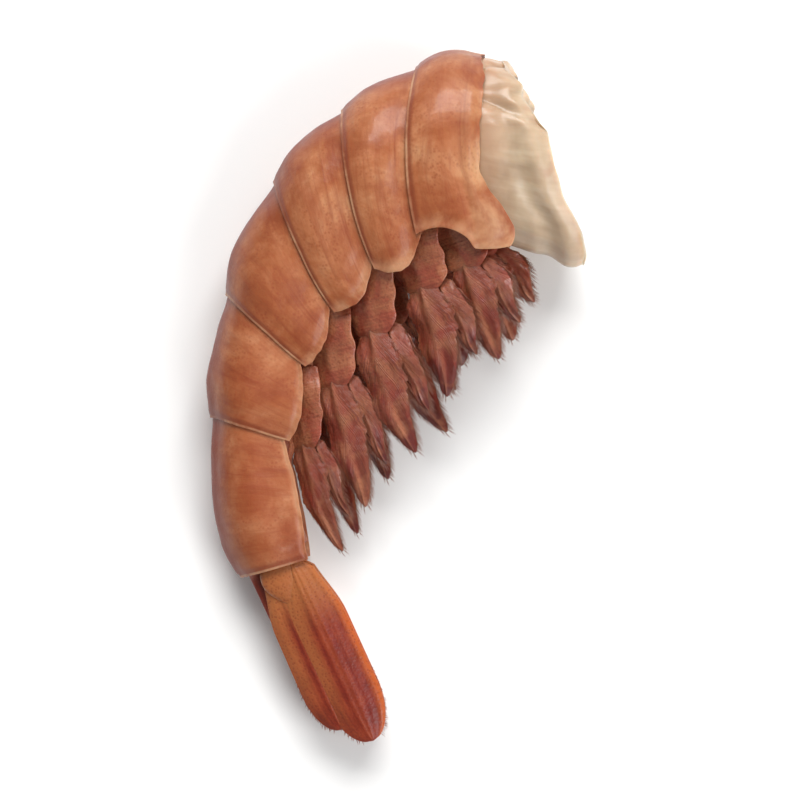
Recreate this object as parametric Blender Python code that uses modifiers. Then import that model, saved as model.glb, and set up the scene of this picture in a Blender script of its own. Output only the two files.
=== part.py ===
"""A raw prawn, head off and shell on, lying curled on its left side.

The body follows one flat curve, the spine, which starts at the front edge of the first shell
plate and runs to the tip of the tail. Six thin plates overlap like roof tiles on the flesh that
runs through them, five pairs of swimming legs hang from the belly, and the tail fan is folded.
"""

import math
import random

import bpy
import numpy as np
from mathutils import Matrix, Vector

MM = 0.001  # sizes are written in millimetres and used in metres

# The spine: where its start lies, how far apart the joints between the plates are, how long the
# tail fan is, and which way the body heads at each joint and at the tip, in degrees from +X.
SPINE_START = (10.12 * MM, 33.85 * MM)
PLATE_PITCH = [pitch * MM for pitch in (8.8, 8.7, 10.0, 11.4, 12.8, 18.2)]
TAIL_LENGTH = 27.0 * MM
HEADING = (178, 203, 219, 236, 254, 268, 290, 297)
JOINTS = np.cumsum([0.0, *PLATE_PITCH])
TAIL_JOINT = JOINTS[-1]

# The flesh at each station along the spine, the first of them ahead of the shell: how far its
# back and its belly are from the spine, and how wide it is from side to side.
STATIONS = np.array([-13.0 * MM, *JOINTS, TAIL_JOINT + 8.0 * MM])
TO_BACK = np.array([9.3, 9.8, 8.2, 7.5, 6.3, 4.8, 3.9, 3.8, 3.1]) * MM
TO_BELLY = np.array([17.0, 12.4, 8.8, 7.9, 6.5, 5.0, 4.0, 3.7, 3.0]) * MM
WIDTH = np.array([15.4, 16.8, 16.4, 15.2, 13.0, 10.6, 8.8, 7.4, 5.8]) * MM
KEEL = np.array([0, 0, 0, 0, 0.1, 0.35, 0.6, 0.5, 0.3]) * MM  # the crest along the back
SINK = 0.35 * MM  # how far the lower flank is pressed flat where the prawn lies

# The shell plates. Their edges lean, so that the belly end of an edge lies nearer the tail.
SHELL_THICKNESS = 0.4 * MM
FRONT_GAP = 0.25 * MM  # from the flesh to the tucked front of a plate
REAR_GAP = 0.95 * MM  # from the flesh to the free rear edge, over the next plate
TUCK = 1.3 * MM  # how far a plate reaches forward under the one before
LAP = 1.0 * MM  # how far its rear edge reaches over the one behind
EDGE_LEAN = [math.tan(math.radians(lean)) for lean in (0, 27, 32, 36, 30, 18, 5)]
HANG_ANGLE = math.radians(98)  # where a plate leaves the flesh and hangs as a side flap
FLAP_REACH = [reach * MM for reach in (16.4, 12.4, 10.2, 8.0, 6.4, 5.2)]
FIRST_FLAP_FORWARD = 4.6 * MM  # the first plate's side flaps reach forward
PLATE_ACROSS = 24
PLATE_ALONG = 8
HANG_COLUMNS = 4  # columns of a plate's grid in each side flap
FLOOR_TO_FLESH = REAR_GAP + SHELL_THICKNESS + 0.012 * MM

# The torn front of the flesh: how far it stands out of the shell at the back, the flanks and the
# belly, and how ragged its rim is.
TEAR_BACK = 2.6 * MM
TEAR_FLANK = 8.0 * MM
TEAR_BELLY = 15.4 * MM
TEAR_RAGGED = 0.6 * MM
BUNDLES = 0.7 * MM  # how far the bundles of muscle stand out of the torn face
FLESH_SEGMENTS = 26
FLESH_RINGS = 36
FLESH_REAR = TAIL_JOINT - 3.0 * MM

# The swimming legs, first pair to last: which way they point, and how long and wide they are
LEG_HEADING = (287, 286, 285, 284, 282)
LEG_LENGTH = [length * MM for length in (20.0, 22.5, 25.5, 27.5, 23.0)]
LEG_WIDTH = [width * MM for width in (7.0, 7.4, 7.2, 6.6, 5.4)]
LEG_PLACE = (0.3, 0.3, 0.25, 0.4, 0.45)  # along the plate that it hangs from
LEG_THICKNESS = 0.6 * MM
LEG_TWIST = 31  # degrees that a blade is turned from lying flat
LEG_SPREAD = 0.27  # how far off the middle a leg stands, as a share of the flesh's width
LEG_CLEAR = 0.3 * MM

# The tail fan: the outer and the inner blade of a tail limb, and the spike between the limbs
BLADE_THICKNESS = 0.6 * MM
OUTER_BLADE = (25.5 * MM, 7.4 * MM)
INNER_BLADE = (22.5 * MM, 6.4 * MM)
LIMB_SIDE = 2.35 * MM  # how far off the middle a tail limb stands
LIMB_FOLD = 1.6  # degrees that it turns in towards the middle
SPIKE = (18.0 * MM, 1.7 * MM, 2.4 * MM)

SHELL_COLOUR = (0.48, 0.19, 0.09)
FLESH_COLOUR = (0.60, 0.46, 0.34)
LEG_COLOUR = (0.28, 0.09, 0.06)
TAIL_COLOUR = (0.27, 0.05, 0.025)


def smooth_through(stations, values):
    """A smooth curve through the values at the stations, as a function of distance."""
    slopes = np.gradient(values, stations)

    def at(s):
        s = np.clip(s, stations[0], stations[-1])
        i = np.clip(np.searchsorted(stations, s) - 1, 0, len(stations) - 2)
        span = stations[i + 1] - stations[i]
        t = (s - stations[i]) / span
        rise = values[i] * (1 + 2 * t) * (1 - t) ** 2 + values[i + 1] * t**2 * (3 - 2 * t)
        return rise + span * (slopes[i] * t * (1 - t) ** 2 - slopes[i + 1] * t**2 * (1 - t))

    return at


to_back_at = smooth_through(STATIONS, TO_BACK)
to_belly_at = smooth_through(STATIONS, TO_BELLY)
width_at = smooth_through(STATIONS, WIDTH)
keel_at = smooth_through(STATIONS, KEEL)
heading_at = smooth_through(
    np.array([*JOINTS, TAIL_JOINT + TAIL_LENGTH]), np.radians(np.array(HEADING, float))
)


def make_spine(step=0.25 * MM):
    """Tables of distance and place along the spine, which runs ahead of its start as well."""
    s = np.arange(-20 * MM, TAIL_JOINT + TAIL_LENGTH + 4 * MM, step)
    x = np.cumsum(np.cos(heading_at(s))) * step
    y = np.cumsum(np.sin(heading_at(s))) * step
    x += SPINE_START[0] - np.interp(0, s, x)
    y += SPINE_START[1] - np.interp(0, s, y)
    return s, x, y


SPINE = make_spine()


def frame_at(s):
    """The matrix of the body at s: X runs to the tail, Y to the belly and Z up, to the right side."""
    place = Vector((np.interp(s, SPINE[0], SPINE[1]), np.interp(s, SPINE[0], SPINE[2]), 0))
    place.z = FLOOR_TO_FLESH + float(width_at(s)) / 2 - SINK
    return Matrix.Translation(place) @ Matrix.Rotation(float(heading_at(s)), 4, "Z")


def section(s, angle):
    """A point of the flesh's outline, towards the belly and to the side, and the way it faces.

    The angle is 0 at the middle of the back and 180 degrees at the middle of the belly.
    """
    belly, side = -math.cos(angle), math.sin(angle)
    depth = float(to_belly_at(s)) if belly > 0 else float(to_back_at(s))
    width = float(width_at(s)) / 2
    facing = Vector((belly / depth, side / width)).normalized()
    if belly > 0:
        belly = belly**0.92
    return Vector((belly * depth, side * width)), facing


def on_body(s, outline, gap):
    """A world point from an outline point; what would sink into the floor is pressed flat on it."""
    point = frame_at(s) @ Vector((0, outline.x, outline.y))
    point.z = max(point.z, FLOOR_TO_FLESH - gap)
    return point


def smooth_step(t):
    t = min(max(t, 0.0), 1.0)
    return t * t * (3 - 2 * t)


def material(name, colour, roughness):
    made = bpy.data.materials.new(name)
    made.use_nodes = True
    shader = made.node_tree.nodes["Principled BSDF"]
    shader.inputs["Base Color"].default_value = (*colour, 1)
    shader.inputs["Roughness"].default_value = roughness
    return made


def finish(obj, name, look, collection):
    """Names a new object, gives it its material and moves it to the prawn's collection."""
    obj.name = name
    obj.data.name = name
    obj.data.materials.append(look)
    obj.data.shade_smooth()
    obj.data.set_sharp_from_angle(angle=math.radians(50))
    for other in list(obj.users_collection):
        other.objects.unlink(obj)
    collection.objects.link(obj)
    return obj


def seat(obj, s):
    """Puts the object's origin on the spine at s, without moving its shape."""
    place = frame_at(s)
    obj.data.transform(place.inverted())
    obj.matrix_world = place


def solidify(obj, thickness, offset):
    wall = obj.modifiers.new("Wall", "SOLIDIFY")
    wall.thickness = thickness
    wall.offset = offset
    wall.use_even_offset = True


def fuse(core, others):
    """Joins the other objects to the core as one solid, and removes them."""
    parts = bpy.data.collections.new("to be joined")
    for obj in others:
        for other in list(obj.users_collection):
            other.objects.unlink(obj)
        parts.objects.link(obj)
    join = core.modifiers.new("Join", "BOOLEAN")
    join.operation = "UNION"
    join.operand_type = "COLLECTION"
    join.collection = parts
    bpy.context.view_layer.objects.active = core
    bpy.ops.object.modifier_apply(modifier=join.name)
    for obj in others:
        bpy.data.objects.remove(obj)
    bpy.data.collections.remove(parts)


def tear(angle, phases):
    """How far ahead of the first plate the torn rim stands, at an angle round the section."""
    low = (1 - math.cos(angle)) / 2  # 0 at the back, 1 at the belly
    middle = 2 * TEAR_FLANK - (TEAR_BACK + TEAR_BELLY) / 2
    reach = TEAR_BACK * (1 - low) ** 2 + 2 * middle * low * (1 - low) + TEAR_BELLY * low**2
    ragged = sum(
        math.sin(count * angle + phase) / (1 + 0.15 * count)
        for count, phase in zip((5, 8, 13), phases)
    )
    return reach + TEAR_RAGGED * ragged


def make_flesh(look, collection):
    """The muscle, one piece from the torn front to the last plate: a sphere drawn out along the
    spine, whose poles become the torn face and the rear end."""
    rng = random.Random(4)
    phases = [rng.uniform(0, 2 * math.pi) for _ in range(3)]
    cap = 4 / FLESH_RINGS  # share of the rings that close an end
    bpy.ops.mesh.primitive_uv_sphere_add(segments=FLESH_SEGMENTS, ring_count=FLESH_RINGS, radius=1)
    obj = bpy.context.active_object
    for vertex in obj.data.vertices:
        share = math.acos(max(-1, min(1, vertex.co.z))) / math.pi
        angle = math.atan2(vertex.co.y, vertex.co.x)
        rim = -tear(angle, phases)
        if share < cap:
            size = math.sin(math.pi / 2 * share / cap) ** 0.8
            across, down = size * math.sin(angle), size * math.cos(angle)
            bundles = math.cos(5.5 * across) * math.cos(4.5 * down + 1.2) * (1 - size**4)
            middle = -TEAR_FLANK + 1.0 * MM
            s = middle + (rim + 0.6 * MM - middle) * size**1.7 - BUNDLES * bundles
            size *= 0.92
        elif share < 1 - cap:
            along = (share - cap) / (1 - 2 * cap)
            s = rim + (FLESH_REAR - rim) * along**1.15
            size = 0.94 + 0.06 * smooth_step(along * 14)
        else:
            size = math.sqrt(max(0.0, 1 - ((share - 1 + cap) / cap) ** 2))
            s = FLESH_REAR + 1.5 * MM * (share - 1 + cap) / cap
        outline, _ = section(s, angle)
        vertex.co = on_body(s, outline * size, 0)
    seat(obj, 0)
    return finish(obj, "flesh", look, collection)


def flap_reach(number, along):
    """How far from the spine the lower edge of a side flap is: each flap is a rounded lobe."""
    if number == 0:
        corner = 0.06 * max(0.0, 1 - along / 0.12)
        return (0.62 + 0.38 * (1 - along) ** 1.4 - corner) * FLAP_REACH[0]
    return (0.78 + 0.22 * math.sin(math.pi * (0.08 + 0.84 * along)) ** 0.7) * FLAP_REACH[number]


def make_plate(number, look, collection):
    """One shell plate: a flat grid laid over the back and down both flanks, then given a wall."""
    first = number == 0
    start = JOINTS[number] - (0 if first else TUCK)
    end = JOINTS[number + 1] + LAP
    on_flesh = 1 - HANG_COLUMNS / (PLATE_ACROSS / 2)
    bpy.ops.mesh.primitive_grid_add(x_subdivisions=PLATE_ALONG, y_subdivisions=PLATE_ACROSS, size=2)
    obj = bpy.context.active_object
    for vertex in obj.data.vertices:
        along = (vertex.co.x + 1) / 2
        across = vertex.co.y
        side = math.copysign(1, across)
        angle = min(abs(across) / on_flesh, 1) * HANG_ANGLE * side
        hang = max(0.0, (abs(across) - on_flesh) / (1 - on_flesh))
        middle = start + (end - start) * along
        level, _ = section(middle, angle)
        drop = hang * (flap_reach(number, along) - level.x)
        lean = EDGE_LEAN[number] * (1 - along) + EDGE_LEAN[number + 1] * along
        s = middle + lean * (level.x + drop)
        if first:
            s -= FIRST_FLAP_FORWARD * hang * (1 - along) ** 2
        outline, facing = section(s, angle)
        raised = 1 if first and along > 0.5 else smooth_step((along - 0.22) / 0.56)
        gap = FRONT_GAP + (REAR_GAP - FRONT_GAP) * raised
        outline = outline + facing * gap
        outline.x -= float(keel_at(s)) * max(0.0, 1 - abs(angle) / 0.3)
        outline += drop * Vector((1, -0.12 * side))
        vertex.co = on_body(s, outline, gap)
    solidify(obj, SHELL_THICKNESS, 1)
    seat(obj, (JOINTS[number] + JOINTS[number + 1]) / 2)
    return finish(obj, f"shell_plate_{number + 1}", look, collection)


def leaf(length, width, camber, along, across, outline):
    """A thin blade as an open grid in its own frame: X to its tip, Y across, Z out of its face."""
    bpy.ops.mesh.primitive_grid_add(x_subdivisions=along, y_subdivisions=across, size=2)
    obj = bpy.context.active_object
    for vertex in obj.data.vertices:
        t = 1 - (1 - (vertex.co.x + 1) / 2) ** 1.3
        half = width * outline(t) / 2
        vertex.co = Vector((t * length, vertex.co.y * half, -camber * vertex.co.y**2 * half))
    return obj


def willow(t):
    """The width of a leg's blade along its length: widest in the middle, with a narrow tip."""
    return max(0.5 * (1 - t) ** 2, math.sin(math.pi * (0.12 + 0.86 * t**0.8)) ** 0.7)


def paddle(t):
    """The width of a tail blade along its length: nearly even, with a round tip."""
    end = max(0.0, (t - 0.72) / 0.28)
    return (0.72 + 0.28 * smooth_step(t / 0.4)) * max(0.3, math.sqrt(1 - min(end, 1) ** 2.2))


def ellipsoid(size, segments, rings):
    """An egg along X that starts at the origin; size is its length, width and height."""
    bpy.ops.mesh.primitive_uv_sphere_add(segments=segments, ring_count=rings, radius=1)
    obj = bpy.context.active_object
    for vertex in obj.data.vertices:
        x, y, z = vertex.co.z, vertex.co.y, -vertex.co.x
        vertex.co = Vector(((1 + x) / 2 * size[0], y / 2 * size[1], z / 2 * size[2]))
    return obj


def make_leg(number, side, rng, look, collection):
    """A swimming leg: a flattened root that carries a long outer blade and a short inner one."""
    width = LEG_WIDTH[number]
    length = LEG_LENGTH[number] * rng.uniform(0.94, 1.04)
    if side < 0:
        length *= rng.uniform(0.86, 0.98)
    root = (0.4 * length, 0.72 * width, 0.27 * width)
    core = ellipsoid(root, 8, 6)
    outer = leaf(0.92 * length, width, 0.14, 7, 4, willow)
    solidify(outer, LEG_THICKNESS, 0)
    outer.data.transform(Matrix.Translation((0.08 * length, -0.05 * width, 0.02 * width)))
    inner = leaf(0.6 * length, 0.62 * width, 0.14, 5, 4, willow)
    solidify(inner, LEG_THICKNESS, 0)
    turn = Matrix.Rotation(math.radians(12), 4, "Z")
    inner.data.transform(Matrix.Translation((0.16 * length, 0.1 * width, -0.15 * width)) @ turn)
    fuse(core, [outer, inner])

    s = JOINTS[number] + LEG_PLACE[number] * PLATE_PITCH[number]
    s += EDGE_LEAN[number + 1] * float(to_belly_at(s)) * 0.8
    heading = math.radians(LEG_HEADING[number] + rng.uniform(-1, 1) + (0 if side > 0 else 6))
    slant = heading - float(heading_at(s)) - math.pi / 2
    stand = math.hypot(root[0] * math.cos(slant), root[1] * math.sin(slant)) / 2
    stand -= root[0] / 2 * math.cos(slant)
    level = float(to_belly_at(s)) + LEG_CLEAR + stand
    place = frame_at(s) @ Vector((0, level, side * LEG_SPREAD * float(width_at(s))))
    core.matrix_world = (
        Matrix.Translation(place)
        @ Matrix.Rotation(heading, 4, "Z")
        @ Matrix.Rotation(math.radians(side * 2), 4, "Y")
        @ Matrix.Rotation(math.radians(LEG_TWIST + rng.uniform(-2, 2)), 4, "X")
    )
    name = f"leg_{'right' if side > 0 else 'left'}_{number + 1}"
    return finish(core, name, look, collection)


def make_tail_limb(side, look, collection):
    """A tail limb: a short thick root with an outer and an inner blade, folded flat together."""
    core = ellipsoid((6.5 * MM, 6.4 * MM, 2.0 * MM), 12, 8)
    outer = leaf(*OUTER_BLADE, 0.2, 10, 6, paddle)
    inner = leaf(*INNER_BLADE, 0.2, 10, 6, paddle)
    for blade, place, swing, tilt in (
        (outer, (1.8, 1.6, 0.75), 5.5, 1.5),
        (inner, (2.2, -0.9, -0.15), 4.5, 1.0),
    ):
        solidify(blade, BLADE_THICKNESS, 0)
        blade.data.transform(
            Matrix.Translation([c * MM for c in place])
            @ Matrix.Rotation(math.radians(swing), 4, "Z")
            @ Matrix.Rotation(math.radians(tilt), 4, "Y")
        )
    fuse(core, [outer, inner])
    if side < 0:
        core.data.transform(Matrix.Scale(-1, 4, Vector((0, 0, 1))))
        core.data.flip_normals()
    tail = frame_at(TAIL_JOINT - 1.1 * MM)
    fold = Matrix.Rotation(math.radians(LIMB_FOLD * side), 4, "Y")
    core.matrix_world = tail @ Matrix.Translation((0, 0.4 * MM, side * LIMB_SIDE)) @ fold
    name = f"tail_limb_{'right' if side > 0 else 'left'}"
    return finish(core, name, look, collection)


def make_spike(look, collection):
    """The middle spike of the tail, a flattened cone with a blunt tip, along the back edge."""
    length, width, thick = SPIKE
    bpy.ops.mesh.primitive_cone_add(vertices=12, radius1=1, radius2=0.25, depth=1)
    obj = bpy.context.active_object
    for vertex in obj.data.vertices:
        x = (vertex.co.z + 0.5) * length
        vertex.co = Vector((x, vertex.co.x * thick / 2, vertex.co.y * width / 2))
    edges = obj.modifiers.new("Rounded", "BEVEL")
    edges.width = 0.2 * MM
    edges.segments = 2
    tail = frame_at(TAIL_JOINT - 1.0 * MM)
    turn = Matrix.Rotation(math.radians(3.5), 4, "Z")
    obj.matrix_world = tail @ Matrix.Translation((0, -3.0 * MM, 0)) @ turn
    return finish(obj, "tail_spike", look, collection)


def main():
    for obj in list(bpy.data.objects):
        bpy.data.objects.remove(obj)
    prawn = bpy.data.collections.new("prawn")
    bpy.context.scene.collection.children.link(prawn)
    shell = material("wet shell", SHELL_COLOUR, 0.3)
    muscle = material("raw muscle", FLESH_COLOUR, 0.45)
    leg_skin = material("leg skin", LEG_COLOUR, 0.4)
    fan_skin = material("tail fan", TAIL_COLOUR, 0.3)

    make_flesh(muscle, prawn)
    for number in range(len(PLATE_PITCH)):
        make_plate(number, shell, prawn)
    rng = random.Random(11)
    for number in range(len(LEG_LENGTH)):
        for side in (1, -1):
            make_leg(number, side, rng, leg_skin, prawn)
    make_spike(fan_skin, prawn)
    for side in (1, -1):
        make_tail_limb(side, fan_skin, prawn)


main()
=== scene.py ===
"""A raw prawn, head off and shell on, lying curled on its left side on a white table.

The file follows the prawn as it is put together: the table it lies on, the flesh that runs
through it, the six shell plates over the flesh, the skin of the belly, the swimming legs that
hang from it, and the folded tail fan. Sizes are in millimetres and become metres where a shape
is made.
"""

import math
import random

import bpy
import numpy as np
from mathutils import Matrix, Vector, noise


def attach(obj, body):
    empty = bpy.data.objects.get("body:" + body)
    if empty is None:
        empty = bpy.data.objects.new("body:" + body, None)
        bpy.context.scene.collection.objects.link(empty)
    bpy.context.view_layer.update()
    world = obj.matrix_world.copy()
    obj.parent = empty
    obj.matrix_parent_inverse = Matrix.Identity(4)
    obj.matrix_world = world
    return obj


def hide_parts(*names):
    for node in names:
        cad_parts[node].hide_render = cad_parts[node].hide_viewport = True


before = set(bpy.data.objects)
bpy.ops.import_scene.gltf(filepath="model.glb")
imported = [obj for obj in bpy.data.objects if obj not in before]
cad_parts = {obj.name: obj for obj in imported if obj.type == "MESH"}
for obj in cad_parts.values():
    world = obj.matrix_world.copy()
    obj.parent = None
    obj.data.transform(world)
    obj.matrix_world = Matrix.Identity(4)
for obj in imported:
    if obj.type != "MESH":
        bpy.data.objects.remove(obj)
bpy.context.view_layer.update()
bpy.ops.object.select_all(action="DESELECT")
scene = bpy.context.scene

MM = 0.001


# The table: a white, matt board that the prawn lies on, lit as in a small photo studio by one
# wide soft box that hangs over the back of the table, a weak one at the right front, and the
# white walls of the room. The camera looks straight down, as in the photograph.

def linear(code):
    """An sRGB hex colour as the linear colour that a shader takes."""
    parts = [int(code[i:i + 2], 16) / 255 for i in (1, 3, 5)]
    return (*[p / 12.92 if p <= 0.04045 else ((p + 0.055) / 1.055) ** 2.4 for p in parts], 1.0)


def node(tree, kind, inputs=None, stops=None, **settings):
    """Adds a node. An input is given a value, an output to link it to, or another node, which
    then stands for the first of its outputs in use."""
    made = tree.nodes.new(kind)
    for name, value in settings.items():
        setattr(made, name, value)
    for name, value in (inputs or {}).items():
        if isinstance(value, bpy.types.Node):
            value = next(output for output in value.outputs if output.enabled)
        if isinstance(value, bpy.types.NodeSocket):
            tree.links.new(value, made.inputs[name])
        else:
            made.inputs[name].default_value = value
    if stops:
        ramp = made.color_ramp
        while len(ramp.elements) < len(stops):
            ramp.elements.new(0.5)
        for element, (at, colour) in zip(ramp.elements, stops):
            element.position = at
            element.color = linear(colour)
    return made


def finish_of(name):
    """A new material with an empty node tree."""
    made = bpy.data.materials.new(name)
    made.use_nodes = True
    made.node_tree.nodes.clear()
    return made, made.node_tree


TABLE_SIZE = 1600
board, tree = finish_of("matt white laminate board")
place = node(tree, "ShaderNodeTexCoord").outputs["Object"]
# A faint unevenness in the white, about 60 mm across, as of wiped laminate
cloud = node(tree, "ShaderNodeTexNoise", {"Vector": place, "Scale": 1 / 0.060})
tone = node(tree, "ShaderNodeValToRGB", {"Fac": cloud}, [(0.3, "#F2F1EF"), (0.7, "#F5F4F2")])
surface = node(tree, "ShaderNodeBsdfPrincipled", {
    "Base Color": tone, "Roughness": 0.75, "Specular IOR Level": 0.25})
node(tree, "ShaderNodeOutputMaterial", {"Surface": surface})

bpy.ops.mesh.primitive_plane_add(size=TABLE_SIZE * MM)
table = bpy.context.active_object
table.name = "table"
table.data.materials.append(board)

for name, power, width, depth, spot in (
    ("wide soft box", 5.0, 520, 340, (40, 470, 470)),
    ("weak soft box", 2.5, 420, 420, (420, -240, 420)),
):
    light = bpy.data.lights.new(name, "AREA")
    light.shape = "RECTANGLE"
    light.size, light.size_y = width * MM, depth * MM
    light.energy = power
    lamp = bpy.data.objects.new(name, light)
    lamp.location = Vector(spot) * MM
    lamp.rotation_euler = (-lamp.location).to_track_quat("-Z", "Y").to_euler()
    scene.collection.objects.link(lamp)

room = bpy.data.worlds.new("white studio room")
room.use_nodes = True
walls = room.node_tree.nodes["Background"].inputs
walls["Color"].default_value = linear("#F4F6FA")
walls["Strength"].default_value = 0.36
scene.world = room

LENS, SENSOR = 135, 36
VIEW_WIDTH = 102
VIEW_LEVEL = 9  # over the table, where the view is that wide
camera_data = bpy.data.cameras.new("camera")
camera_data.lens = LENS
camera_data.sensor_width = SENSOR
camera = bpy.data.objects.new("camera", camera_data)
camera.location = (0, 0, (VIEW_WIDTH * LENS / SENSOR + VIEW_LEVEL) * MM)
scene.collection.objects.link(camera)
scene.camera = camera
scene.view_settings.view_transform = "Standard"


# The flesh: the tail muscle, one raw piece from the torn front end, where the head was pulled
# off, to the root of the tail fan. It is cream to grey and half see-through, and is made of long
# bundles of fibre that stand out as soft ridges and end in a ragged rim.

# The spine curves through the plates. Lengths along it count from the first plate's front, and
# its headings are in degrees, at each joint between plates and at the tips of the tail fan.
SPINE_START = (10.12, 33.85)
PLATE_PITCH = (8.8, 8.7, 10.0, 11.4, 12.8, 18.2)
TAIL_LENGTH = 27.0
HEADING = (178, 203, 219, 236, 254, 268, 290, 297)
JOINTS = np.cumsum([0.0, *PLATE_PITCH])
TAIL_JOINT = JOINTS[-1]
SPINE_STEP = 0.25
# The flesh's reach to the back and to the belly, and its width from side to side
STATIONS = np.array([-13.0, *JOINTS, TAIL_JOINT + 8.0])
TO_BACK = np.array([9.3, 9.8, 8.2, 7.5, 6.3, 4.8, 3.9, 3.8, 3.1])
TO_BELLY = np.array([17.0, 12.4, 8.8, 7.9, 6.5, 5.0, 4.0, 3.7, 3.0])
WIDTH = np.array([15.4, 16.8, 16.4, 15.2, 13.0, 10.6, 8.8, 7.4, 5.8])
FLOOR_TO_FLESH = 1.362
SHELL_ROOM = 0.95  # the most that a plate stands off the flesh
SINK = 0.35  # of the flesh, where its weight presses it flat on the table
FLESH_REAR = TAIL_JOINT + 0.8
TEAR_BACK, TEAR_FLANK, TEAR_BELLY = 2.6, 8.0, 15.4


def smooth_through(stations, values):
    """A smooth curve through the values at the stations, as a function of distance."""
    slopes = np.gradient(values, stations)

    def at(s):
        s = np.clip(s, stations[0], stations[-1])
        i = np.clip(np.searchsorted(stations, s) - 1, 0, len(stations) - 2)
        span = stations[i + 1] - stations[i]
        t = (s - stations[i]) / span
        rise = values[i] * (1 + 2 * t) * (1 - t) ** 2 + values[i + 1] * t**2 * (3 - 2 * t)
        return rise + span * (slopes[i] * t * (1 - t) ** 2 - slopes[i + 1] * t**2 * (1 - t))

    return at


to_back_at = smooth_through(STATIONS, TO_BACK)
to_belly_at = smooth_through(STATIONS, TO_BELLY)
width_at = smooth_through(STATIONS, WIDTH)
heading_at = smooth_through(np.array([*JOINTS, TAIL_JOINT + TAIL_LENGTH]), np.radians(HEADING))
spine_s = np.arange(-20, TAIL_JOINT + TAIL_LENGTH + 4, SPINE_STEP)
spine_x = np.cumsum(np.cos(heading_at(spine_s))) * SPINE_STEP
spine_y = np.cumsum(np.sin(heading_at(spine_s))) * SPINE_STEP
spine_x += SPINE_START[0] - np.interp(0, spine_s, spine_x)
spine_y += SPINE_START[1] - np.interp(0, spine_s, spine_y)


def columns(*values):
    """A row for each point, with a column for each value. A lone number fills its column."""
    return np.stack(np.broadcast_arrays(*values), axis=-1)


def section(s, angle):
    """The flesh's outline at s, towards the belly and to the side, and the way it faces there.

    The angle is 0 at the middle of the back and pi at the middle of the belly.
    """
    belly, side = -np.cos(angle), np.sin(angle)
    depth = np.where(belly > 0, to_belly_at(s), to_back_at(s))
    half = width_at(s) / 2
    facing = np.stack([belly / depth, side / half])
    facing = facing / np.linalg.norm(facing, axis=0)
    belly = np.where(belly > 0, np.abs(belly) ** 0.92, belly)
    return belly * depth, side * half, facing[0], facing[1]


def on_body(s, belly, side, gap):
    """World points, in metres; what would sink into the table is pressed flat on it."""
    heading = heading_at(s)
    x = np.interp(s, spine_s, spine_x) - np.sin(heading) * belly
    y = np.interp(s, spine_s, spine_y) + np.cos(heading) * belly
    z = FLOOR_TO_FLESH + width_at(s) / 2 - SINK + side
    return columns(x, y, np.maximum(z, FLOOR_TO_FLESH - np.minimum(gap, SHELL_ROOM))) * MM


def frame_at(s):
    """The body's own frame at s: X runs to the tail, Y to the belly and Z up, to the right side."""
    middle = on_body(s, 0.0, 0.0, 0.0)
    return Matrix.Translation(Vector(middle)) @ Matrix.Rotation(float(heading_at(s)), 4, "Z")


def step(t):
    """A soft step: 0 up to t = 0, and 1 from t = 1."""
    t = np.clip(t, 0, 1)
    return t * t * (3 - 2 * t)


def points_of(piece):
    """The points of a piece's mesh, one to a row."""
    flat = np.empty(3 * len(piece.data.vertices))
    piece.data.vertices.foreach_get("co", flat)
    return flat.reshape(-1, 3)


def move_points(piece, points):
    """Moves the points of a piece's mesh to these places."""
    piece.data.vertices.foreach_set("co", np.asarray(points, float).ravel())
    piece.data.update()


def round_ball(piece):
    """For each point of a ball, its share of the way from the top pole, and its turn round it."""
    ball = points_of(piece)
    share = np.arccos(np.clip(ball[:, 2], -1, 1)) / math.pi
    return share, np.arctan2(ball[:, 1], ball[:, 0])


def lumps(points, size, seed):
    """Smooth random heights, about -1 to 1, with bumps as far apart as size."""
    shift = Vector((seed, -seed, 2 * seed))
    return np.array([noise.noise(Vector(point) / size + shift) for point in points])


def set_uv(piece, layer, first, second):
    """Gives every point of the mesh its two numbers on the layer of that name."""
    uv = piece.data.uv_layers.get(layer) or piece.data.uv_layers.new(name=layer)
    corners = np.empty(len(piece.data.loops), int)
    piece.data.loops.foreach_get("vertex_index", corners)
    uv.data.foreach_set("uv", columns(first, second).astype(float)[corners].ravel())


def select_only(*pieces):
    """Selects these pieces and nothing else, with the first one active."""
    bpy.ops.object.select_all(action="DESELECT")
    for piece in pieces:
        piece.select_set(True)
    bpy.context.view_layer.objects.active = pieces[0]


def hand_over(piece, name, look, stands_for):
    """Names a finished piece, gives it its look, ties it to the prawn's body and hides the CAD node
    it stands for.
    """
    piece.name = piece.data.name = name
    piece.data.materials.clear()
    piece.data.materials.append(look)
    select_only(piece)
    bpy.ops.object.shade_smooth_by_angle(angle=math.radians(60))
    bpy.ops.object.select_all(action="DESELECT")
    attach(piece, "root")
    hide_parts(stands_for)


FLESH_SEGMENTS, FLESH_RINGS = 176, 210
FACE_SHARE, REAR_SHARE = 0.17, 0.05  # of the rings, in the torn face and in the round rear end
RIM_SIZE = 0.955  # of the flesh's outline, at the torn rim
MEAN_RADIUS = 7.5
VEIN_DEPTH = 0.68  # of the way from the middle to the back
rng = random.Random(4)
phases = [rng.uniform(0, math.tau) for _ in range(3)]

bpy.ops.mesh.primitive_uv_sphere_add(segments=FLESH_SEGMENTS, ring_count=FLESH_RINGS, radius=1)
flesh = bpy.context.active_object
share, angle = round_ball(flesh)
low = (1 - np.cos(angle)) / 2
middle = 2 * TEAR_FLANK - (TEAR_BACK + TEAR_BELLY) / 2
rim = TEAR_BACK * (1 - low) ** 2 + 2 * middle * low * (1 - low) + TEAR_BELLY * low**2
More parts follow.
